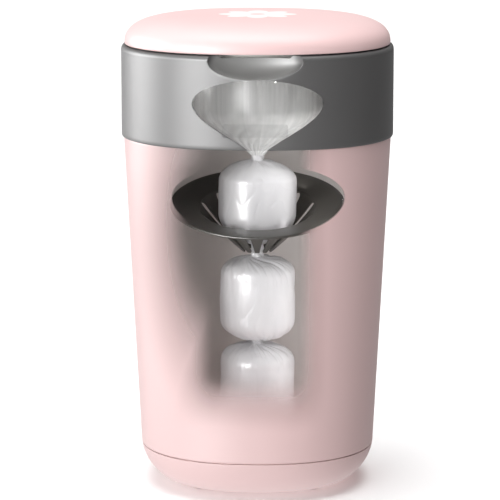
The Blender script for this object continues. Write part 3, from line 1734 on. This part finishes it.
@dataclass
class WrappedNappy:
    """A rolled nappy in film, closed by a twist at each end."""

    node: str
    body: str
    radius: float
    low: float
    high: float
    shoulder_low: float
    shoulder_high: float
    neck_low: float
    neck_high: float
    power: float = 2.3
    seed: float = 0.0
    pleats: int = 26
    swirl_top: float = 0.6
    swirl_low: float = 0.5
    swirl_reach: float = 13.0
    gather: float = 3.4
    gather_reach: float = 24.0
    rope: float = 0.9
    dent: float = 1.8
    tuck: float = 0.3
    square: float = 2.35
    square_mean: float = 1.04
    turn: float = 0.3
    neck: float = 6.5
    flat_foot: float = 0.0
    columns: int = 288

    def shoulder(self, z0: float, z1: float) -> list[Flat]:
        """Give a shoulder that swells from the neck at z0 to the full radius at z1.

        Args:
            z0: the neck's height.
            z1: the height of the full radius. It may be the lower one.

        Returns:
            Radius and height of each row.
        """
        spots = []
        for t in steps(0.0, math.pi / 2, 34):
            r = self.neck + (self.radius - self.neck) * math.sin(t) ** (2 / self.power)
            spots.append((r, z0 + (z1 - z0) * (1 - math.cos(t) ** (2 / self.power))))
        return spots

    def profile(self) -> list[tuple[float, float, float, float]]:
        """Give the outline from the foot up.

        Returns:
            Radius, height, distance from the lower neck and distance from the upper neck, for each row.
        """
        if self.flat_foot:
            low = [(r, self.low) for r in steps(1.0, self.flat_foot, 8)]
            spread = self.radius - self.flat_foot
            for t in steps(0.08, math.pi / 2, 18):
                height = self.low + self.shoulder_low * (1 - math.cos(t))
                low.append((self.flat_foot + spread * math.sin(t), height))
        else:
            low = [(self.neck, z) for z in steps(self.low - self.neck_low, self.low, 6)[:-1]]
            low += self.shoulder(self.low, self.low + self.shoulder_low)
        up = self.shoulder(self.high, self.high - self.shoulder_high)[::-1]
        side = [(self.radius, z) for z in steps(low[-1][1], up[0][1], 30)[1:-1]]
        neck = [(self.neck, z) for z in steps(self.high, self.high + self.neck_high, 8)[1:]]
        spots = low + side + up + neck
        far = [0.0]
        for (r0, z0), (r1, z1) in zip(spots, spots[1:]):
            far.append(far[-1] + math.hypot(r1 - r0, z1 - z0))
        low_neck = -60.0 if self.flat_foot else far[5]
        high_neck = far[-8]
        return [(r, z, max(0.0, d - low_neck), max(0.0, high_neck - d)) for (r, z), d in zip(spots, far)]

    def fold(self, turn: float, z: float) -> float:
        """Give how deep the gathered film lies: big folds, with smaller ones between them.

        Args:
            turn: the direction, in radians.
            z: the height.

        Returns:
            A depth of about 0 to 1.
        """
        depth = 0.0
        for size, weight in ((self.pleats / 10, 0.55), (self.pleats / 4.4, 0.35), (self.pleats / 1.9, 0.18)):
            spot = Vector((*polar(size, turn), self.seed + 0.006 * z * size))
            depth += weight * (1 - min(1.0, 2.6 * abs(noise.noise(spot)))) ** 1.6
        return depth

    def squared(self, turn: float) -> float:
        """Give the radius of the squared cross-section in a direction, as a share of its mean."""
        reach = sum(abs(f(turn - self.turn)) ** self.square for f in (math.cos, math.sin))
        return reach ** (-1 / self.square) / self.square_mean

    def row(self, r: float, z: float, out: Vector, from_low: float, from_high: float) -> list[Place]:
        """Give the points of one row, gathered, dented and squared.

        Args:
            r: the row's radius before that.
            z: its height.
            out: the outline's direction outwards there.
            from_low: its distance from the lower neck.
            from_high: its distance from the upper neck.

        Returns:
            Its points.
        """
        body_share = ease(r, self.neck, self.radius)
        near = min(from_low, from_high)
        twist = self.swirl_top * math.exp(-from_high / self.swirl_reach)
        twist -= self.swirl_low * math.exp(-from_low / self.swirl_reach)
        gather = self.gather * math.exp(-near / self.gather_reach) * ease(r, self.neck * 0.6, self.neck * 3.2)
        rope = 0.0 if self.flat_foot and from_high > 60 else self.rope * (1 - body_share)
        row = []
        for i in range(self.columns):
            turn = math.tau * i / self.columns
            spot = Vector((*polar(r, turn), z))
            soft = noise.noise(spot * 0.03 + Vector((self.seed, 3.7, 1.1)))
            tuck = noise.noise(Vector((spot.x * 0.075, spot.y * 0.075, z * 0.05 + self.seed)))
            inward = gather * self.fold(turn + twist, z) + self.dent * body_share * (0.6 + 0.9 * soft)
            inward += self.tuck * body_share * max(0.0, 1 - 4 * abs(tuck)) ** 2
            inward += rope * (0.5 + 0.5 * math.sin(5 * turn + 0.9 * z))
            shape = 1 + (self.squared(turn) - 1) * body_share
            reach = r * shape - out.x * max(0.0, inward)
            row.append((*polar(reach, turn), z - out.y * max(0.0, inward)))
        return row

    def build(self) -> None:
        spots = self.profile()
        rows = []
        for before, (r, z, *far), after in zip([spots[0], *spots], spots, [*spots[1:], spots[-1]]):
            along = Vector((after[0] - before[0], after[1] - before[1]))
            out = Vector((along.y, -along.x)).normalized() if along.length > 1e-6 else Vector((1, 0))
            rows.append(self.row(r, z, out, *far))
        piece = join_lattice(f"{self.node}_filled", rows, sharp=80.0)
        wear(piece, NAPPY_WRAP, self.body, self.node)


@dataclass
class Contents:
    """The chain of three wrapped nappies."""

    parcels: list[WrappedNappy] = field(
        default_factory=lambda: [
            WrappedNappy(
                "wrapped_nappy_top", "head", 39.5, 233.8, 316.1, 30.0, 19.0, 8.15, 4.7, power=1.85, seed=2.3,
                gather=1.7, gather_reach=15.0, swirl_top=0.3,
            ),
            WrappedNappy(
                "wrapped_nappy_middle", "tub", 38.2, 137.5, 221.5, 22.0, 19.0, 1.5, 3.85, seed=7.9,
                gather=4.4, gather_reach=27.0, swirl_top=1.5,
            ),
            WrappedNappy(
                "wrapped_nappy_bottom", "tub", 38.2, 46.5, 134.5, 20.0, 19.0, 0.0, 1.5, seed=5.2,
                gather=4.0, swirl_top=0.4, flat_foot=20.0,
            ),
        ]
    )

    def build(self) -> None:
        """Make the three parcels."""
        for parcel in self.parcels:
            parcel.build()


# ---- Hinges, catches and cutter ----


@dataclass
class SmallWorks:
    """The pins, the pawl, the catches and the film cutter."""

    edge: float = 0.25
    rail_edge: float = 0.3

    def build(self) -> None:
        """Dress each of them."""
        for pin in ("head_hinge_pin", "lid_hinge_pin", "catch_pins"):
            soften(pin, PIN_STEEL, self.edge)
        for part in ("click_pawl", "catch_left", "catch_right", "cutter_slider"):
            soften(part, WHITE_WHOLE, self.edge)
        soften("cutter_rail", GREY_INNER_WHOLE, self.rail_edge)
        soften("cutter_blade", BLADE_STEEL, edge=0.0)


UP, BACK, DOWN = (0.0, 0.0, 1.0), (0.0, 1.0, 0.0), (0.0, 0.0, -1.0)


@dataclass
class Screws:
    """Pan-head screws with a cross recess, one piece for each CAD node of them."""

    head: float = 2.9
    head_height: float = 1.8
    shank: float = 1.5
    recess: float = 0.7
    crown: float = 0.72  # the flat of the head, as a share of its radius
    recess_reach: float = 1.2  # the length of the recess's cutter, as a share of it too
    sides: int = 32
    shank_sides: int = 24
    frame_a: float = 124.0
    frame_z: float = 415.8
    deck_z: float = 362.0
    hanger_reach: float = 92.5
    hanger_turns: tuple[float, ...] = (0, 90, 180)
    cutter_along: float = 86.0
    cutter_half: float = 27.0

    def tree(self) -> tuple[Tree, dict[str, str]]:
        """Make the tree that sets a screw on each point, along the point's own axis.

        Returns:
            The tree, and the identifiers of its inputs.
        """
        tree, keys = new_geometry_tree(
            "screw_on_each_point",
            {
                "Head Radius": self.head * MM,
                "Head Height": self.head_height * MM,
                "Shank Radius": self.shank * MM,
                "Length": 10 * MM,
                "Recess Width": self.recess * MM,
            },
        )
        given = tree.nodes.new("NodeGroupInput").outputs

        def times(name: str, factor: float) -> Socket:
            """Multiply a named input by a number."""
            return add_node(tree, "ShaderNodeMath", {0: given[name], 1: factor}, operation="MULTIPLY")

        def raised(shape: Socket, height: Socket) -> Socket:
            """Move a shape along the screw's axis."""
            up = add_node(tree, "ShaderNodeCombineXYZ", {2: height})
            return add_node(tree, "GeometryNodeTransform", {"Geometry": shape, "Translation": up})

        half, low = times("Head Height", 0.5), times("Head Height", -1.0)
        radius, narrow = given["Head Radius"], times("Head Radius", self.crown)
        dome = {"Vertices": self.sides, "Radius Top": radius, "Radius Bottom": narrow, "Depth": half}
        disc = {"Vertices": self.sides, "Radius": radius, "Depth": half}
        solids = [
            raised(add_node(tree, "GeometryNodeMeshCone", dome), low),
            raised(add_node(tree, "GeometryNodeMeshCylinder", disc), times("Head Height", -0.25)),
        ]
        union = {"operation": "UNION", "solver": "MANIFOLD"}
        head = add_node(tree, "GeometryNodeMeshBoolean", {"Mesh 2": solids}, **union)
        sides = [times("Head Radius", self.recess_reach), given["Recess Width"]]
        bars = []
        for first, second in (sides, sides[::-1]):
            size = add_node(tree, "ShaderNodeCombineXYZ", {0: first, 1: second, 2: given["Head Height"]})
            bars.append(raised(add_node(tree, "GeometryNodeMeshCube", {"Size": size}), low))
        less = {"operation": "DIFFERENCE", "solver": "MANIFOLD"}
        crossed = add_node(tree, "GeometryNodeMeshBoolean", {"Mesh 1": head, "Mesh 2": bars}, **less)
        shank = {"Vertices": self.shank_sides, "Radius": given["Shank Radius"], "Depth": given["Length"]}
        shank = raised(add_node(tree, "GeometryNodeMeshCylinder", shank), times("Length", 0.5))
        whole = add_node(tree, "GeometryNodeJoinGeometry", {0: [crossed, shank]})
        axis = add_node(
            tree, "GeometryNodeInputNamedAttribute", {"Name": "axis"}, "Attribute", data_type="FLOAT_VECTOR"
        )
        facing = add_node(tree, "FunctionNodeAlignRotationToVector", {"Vector": axis}, axis="Z")
        finish_tree(tree, instance(tree, given["Geometry"], whole, facing), SCREW_STEEL)
        return tree, keys

    def around(self, reach: float, z: float, turns: Sequence[float]) -> list[Place]:
        """Give places round the axis, from their distance, height and directions in degrees."""
        return [(*polar(reach, math.radians(t)), z) for t in turns]

    def bracket(self, node: str, half: float) -> tuple[str, list[Place], Place, float]:
        """Read the two screws of a hinge bracket, which point back, from their CAD node.

        Args:
            node: the CAD node.
            half: half the distance between them.

        Returns:
            What sets gives for a node.
        """
        low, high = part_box(node)
        places = [(x, low.y / MM + self.head_height, (low.z + high.z) / 2 / MM) for x in (-half, half)]
        return node, places, BACK, (high.y - low.y) / MM - self.head_height

    def sets(self) -> list[tuple[str, list[Place], Place, float]]:
        """List the screws.

        Returns:
            For each CAD node: its name, the places, the direction that the shanks point in, and their length.
        """
        base = [(x, y, Base.seat) for x, y in corners(Base.post)]
        rim = []
        for t in Collar.boss_turns:
            rim += self.around(PLAN.radius(self.frame_a, math.radians(t)), self.frame_z, [t])
        across = math.hypot(self.cutter_along, self.cutter_half)
        lean = math.degrees(math.atan2(self.cutter_half, self.cutter_along))
        return [
            ("base_screws", base, UP, 13.0),
            self.bracket("tub_bracket_screws", 32.0),
            ("frame_screws", rim, UP, 10.0),
            self.bracket("head_bracket_screws", 12.0),
            self.bracket("lid_bracket_screws", 32.4),
            ("hanger_screws", self.around(self.hanger_reach, self.deck_z, self.hanger_turns), DOWN, 6.7),
            ("cutter_screws", self.around(across, self.deck_z, [45 - lean, 45 + lean]), DOWN, 6.7),
            ("liner_screws", self.around(Lid.boss_reach, Lid.low, Lid.boss_turns), UP, 10.5),
        ]

    def build(self) -> None:
        """Make each set of screws."""
        tree, keys = self.tree()
        for node, places, axis, length in self.sets():
            mesh = new_mesh(f"{node}_crossed", places)
            axes = mesh.attributes.new("axis", "FLOAT_VECTOR", "POINT")
            axes.data.foreach_set("vector", [c for _ in places for c in axis])
            piece = grow(put(f"{node}_crossed", mesh), tree, {keys["Length"]: length * MM}, 30.0)
            wear(piece, SCREW_STEEL, body_of_node(node), node)


# ---- Studio ----


@dataclass(frozen=True)
class Lamp:
    """A flat light that the camera doesn't see.

    It hangs at a place and points at another, both in metres. Its size is a width and a height, and its power
    is in watts.
    """

    name: str
    place: Place
    aim: Place
    size: Flat
    watts: float
    matt: bool = True
    glossy: bool = True

    def hang(self) -> None:
        """Make the light. One that isn't matt lights no matt surface, and one that isn't glossy no sheen."""
        data = bpy.data.lights.new(self.name, "AREA")
        data.shape = "RECTANGLE"
        data.size, data.size_y = self.size
        data.energy = self.watts
        lamp = put(self.name, data)
        lamp.location = self.place
        lamp.rotation_euler = (Vector(self.aim) - Vector(self.place)).to_track_quat("-Z", "Y").to_euler()
        lamp.visible_camera = False
        lamp.visible_diffuse = self.matt
        lamp.visible_glossy = self.glossy


ROOM = 3.0  # metres from the bin to the lamps round it
MIDDLE = (0.0, 0.0, 0.24)


def across_room(turn: float, height: float) -> Place:
    """Give the place of a lamp in a direction in degrees, where 0 is in front and 90 on the right."""
    return ROOM * math.sin(math.radians(turn)), -ROOM * math.cos(math.radians(turn)), height


LAMPS = (
    # A large soft lamp in front on the left
    Lamp("key", across_room(-28, 0.38), MIDDLE, (1.5, 1.5), 52.0),
    # The cards only give the skins their sheen
    Lamp("front_card", across_room(-38, 0.9), MIDDLE, (2.0, 2.0), 380.0, matt=False),
    Lamp("side_card", across_room(-101, 0.9), MIDDLE, (2.4, 2.0), 290.0, matt=False),
    # Small lamps inside stand in for the even light that the photograph has there
    Lamp("inside_right", (0.078, -0.062, 0.16), (0.0, 0.0, 0.15), (0.03, 0.24), 0.068, glossy=False),
    Lamp("inside_left", (-0.07, -0.075, 0.16), (0.0, 0.0, 0.15), (0.03, 0.22), 0.024, glossy=False),
    Lamp("inside_wall", (0.036, 0.05, 0.18), (0.085, 0.11, 0.18), (0.03, 0.27), 0.03, glossy=False),
    Lamp("inside_dish", (0.06, -0.07, 0.325), (0.0, 0.0, 0.305), (0.05, 0.03), 0.028, glossy=False),
    Lamp("inside_film", (-0.02, -0.05, 0.408), (0.0, 0.05, 0.365), (0.08, 0.02), 0.042, glossy=False),
)


@dataclass
class Studio:
    """The floor, the soft lights and the camera."""

    reach: float = 2600.0
    height: float = 705.3
    turn: float = 1.0
    aim: Place = (-7.3, 0.0, 226.7)
    lens: float = 194.75
    sky: float = 0.33
    lean: float = 0.85
    bounce: float = 0.95
    overhead: float = 3.0
    spread: float = 50.0

    def camera(self) -> None:
        """Set the camera where the photograph was taken from."""
        data = bpy.data.cameras.new("camera")
        data.lens = self.lens
        data.sensor_width = 36.0
        data.clip_end = 30.0
        seat = put("camera", data)
        t = math.radians(self.turn)
        seat.location = Vector((self.reach * math.sin(t), -self.reach * math.cos(t), self.height)) * MM
        seat.rotation_euler = (Vector(self.aim) * MM - seat.location).to_track_quat("-Z", "Y").to_euler()
        bpy.context.scene.camera = seat

    def floor(self) -> None:
        """Lay a pale floor of painted board, matt and almost even, that reaches past the view."""
        mesh = bpy.data.meshes.new("floor")
        mesh.from_pydata([(-30, -20, 0), (30, -20, 0), (30, 90, 0), (-30, 90, 0)], [], [(0, 1, 2, 3)])
        board = put("floor", mesh)
        paint = bpy.data.materials.new("painted_board_white")
        paint.use_nodes = True
        tree = paint.node_tree
        place = add_node(tree, "ShaderNodeTexCoord", {}, "Object")
        cloud = add_node(tree, "ShaderNodeTexNoise", {"Scale": 3.0, "Vector": place})
        ends = {0: cloud, 6: linear("fbfbfb"), 7: linear("f7f7f7")}
        white = add_node(tree, "ShaderNodeMix", ends, 2, data_type="RGBA")
        fill(tree, tree.nodes["Principled BSDF"], {"Base Color": white, "Roughness": 0.7})
        mesh.materials.append(paint)
        board.visible_diffuse = False  # the room's light has the floor's in it
        board.visible_glossy = False

    def world(self) -> None:
        """Make the room's own light: soft, a little stronger on the left, and thrown back up by the floor."""
        world = bpy.data.worlds.new("pale_studio")
        world.use_nodes = True
        tree = world.node_tree
        look = add_node(tree, "ShaderNodeTexCoord", {}, "Generated")
        xyz = add_node(tree, "ShaderNodeSeparateXYZ", {0: look}).node.outputs
        slope = {0: xyz[0], 1: -self.sky * self.lean, 2: self.sky}
        room = add_node(tree, "ShaderNodeMath", slope, operation="MULTIPLY_ADD")
        under = add_node(tree, "ShaderNodeMath", {0: xyz[2], 1: -self.bounce}, operation="MULTIPLY")
        lower = add_node(tree, "ShaderNodeMath", {0: under, 1: 0.0}, operation="MAXIMUM")
        both = add_node(tree, "ShaderNodeMath", {0: room, 1: lower}, operation="ADD")
        fill(tree, tree.nodes["Background"], {"Color": (1, 1, 1, 1), "Strength": both})
        bpy.context.scene.world = world

    def lights(self) -> None:
        """Light the floor evenly from above, the bin from the front left, and the contents from within."""
        overhead = bpy.data.lights.new("overhead", "SUN")
        overhead.energy = self.overhead
        overhead.angle = math.radians(self.spread)
        put("overhead", overhead)
        for lamp in LAMPS:
            lamp.hang()

    def build(self) -> None:
        """Set up the studio."""
        bpy.context.scene.view_settings.view_transform = "Standard"
        bpy.context.scene.cycles.transparent_max_bounces = 32  # the window looks through up to 14 thin walls
        self.camera()
        self.floor()
        self.world()
        self.lights()


def main() -> None:
    """Build every sub-assembly in order."""
    logging.basicConfig(level=logging.INFO, format="%(message)s")
    kinds = (Base, Tub, Collar, Lid, HeadInside, TwistUnit, Gripper, Contents, SmallWorks, Screws, Studio)
    for kind in kinds:
        kind().build()
        log.info("built %s", kind.__name__)


if __name__ == "__main__":
    main()
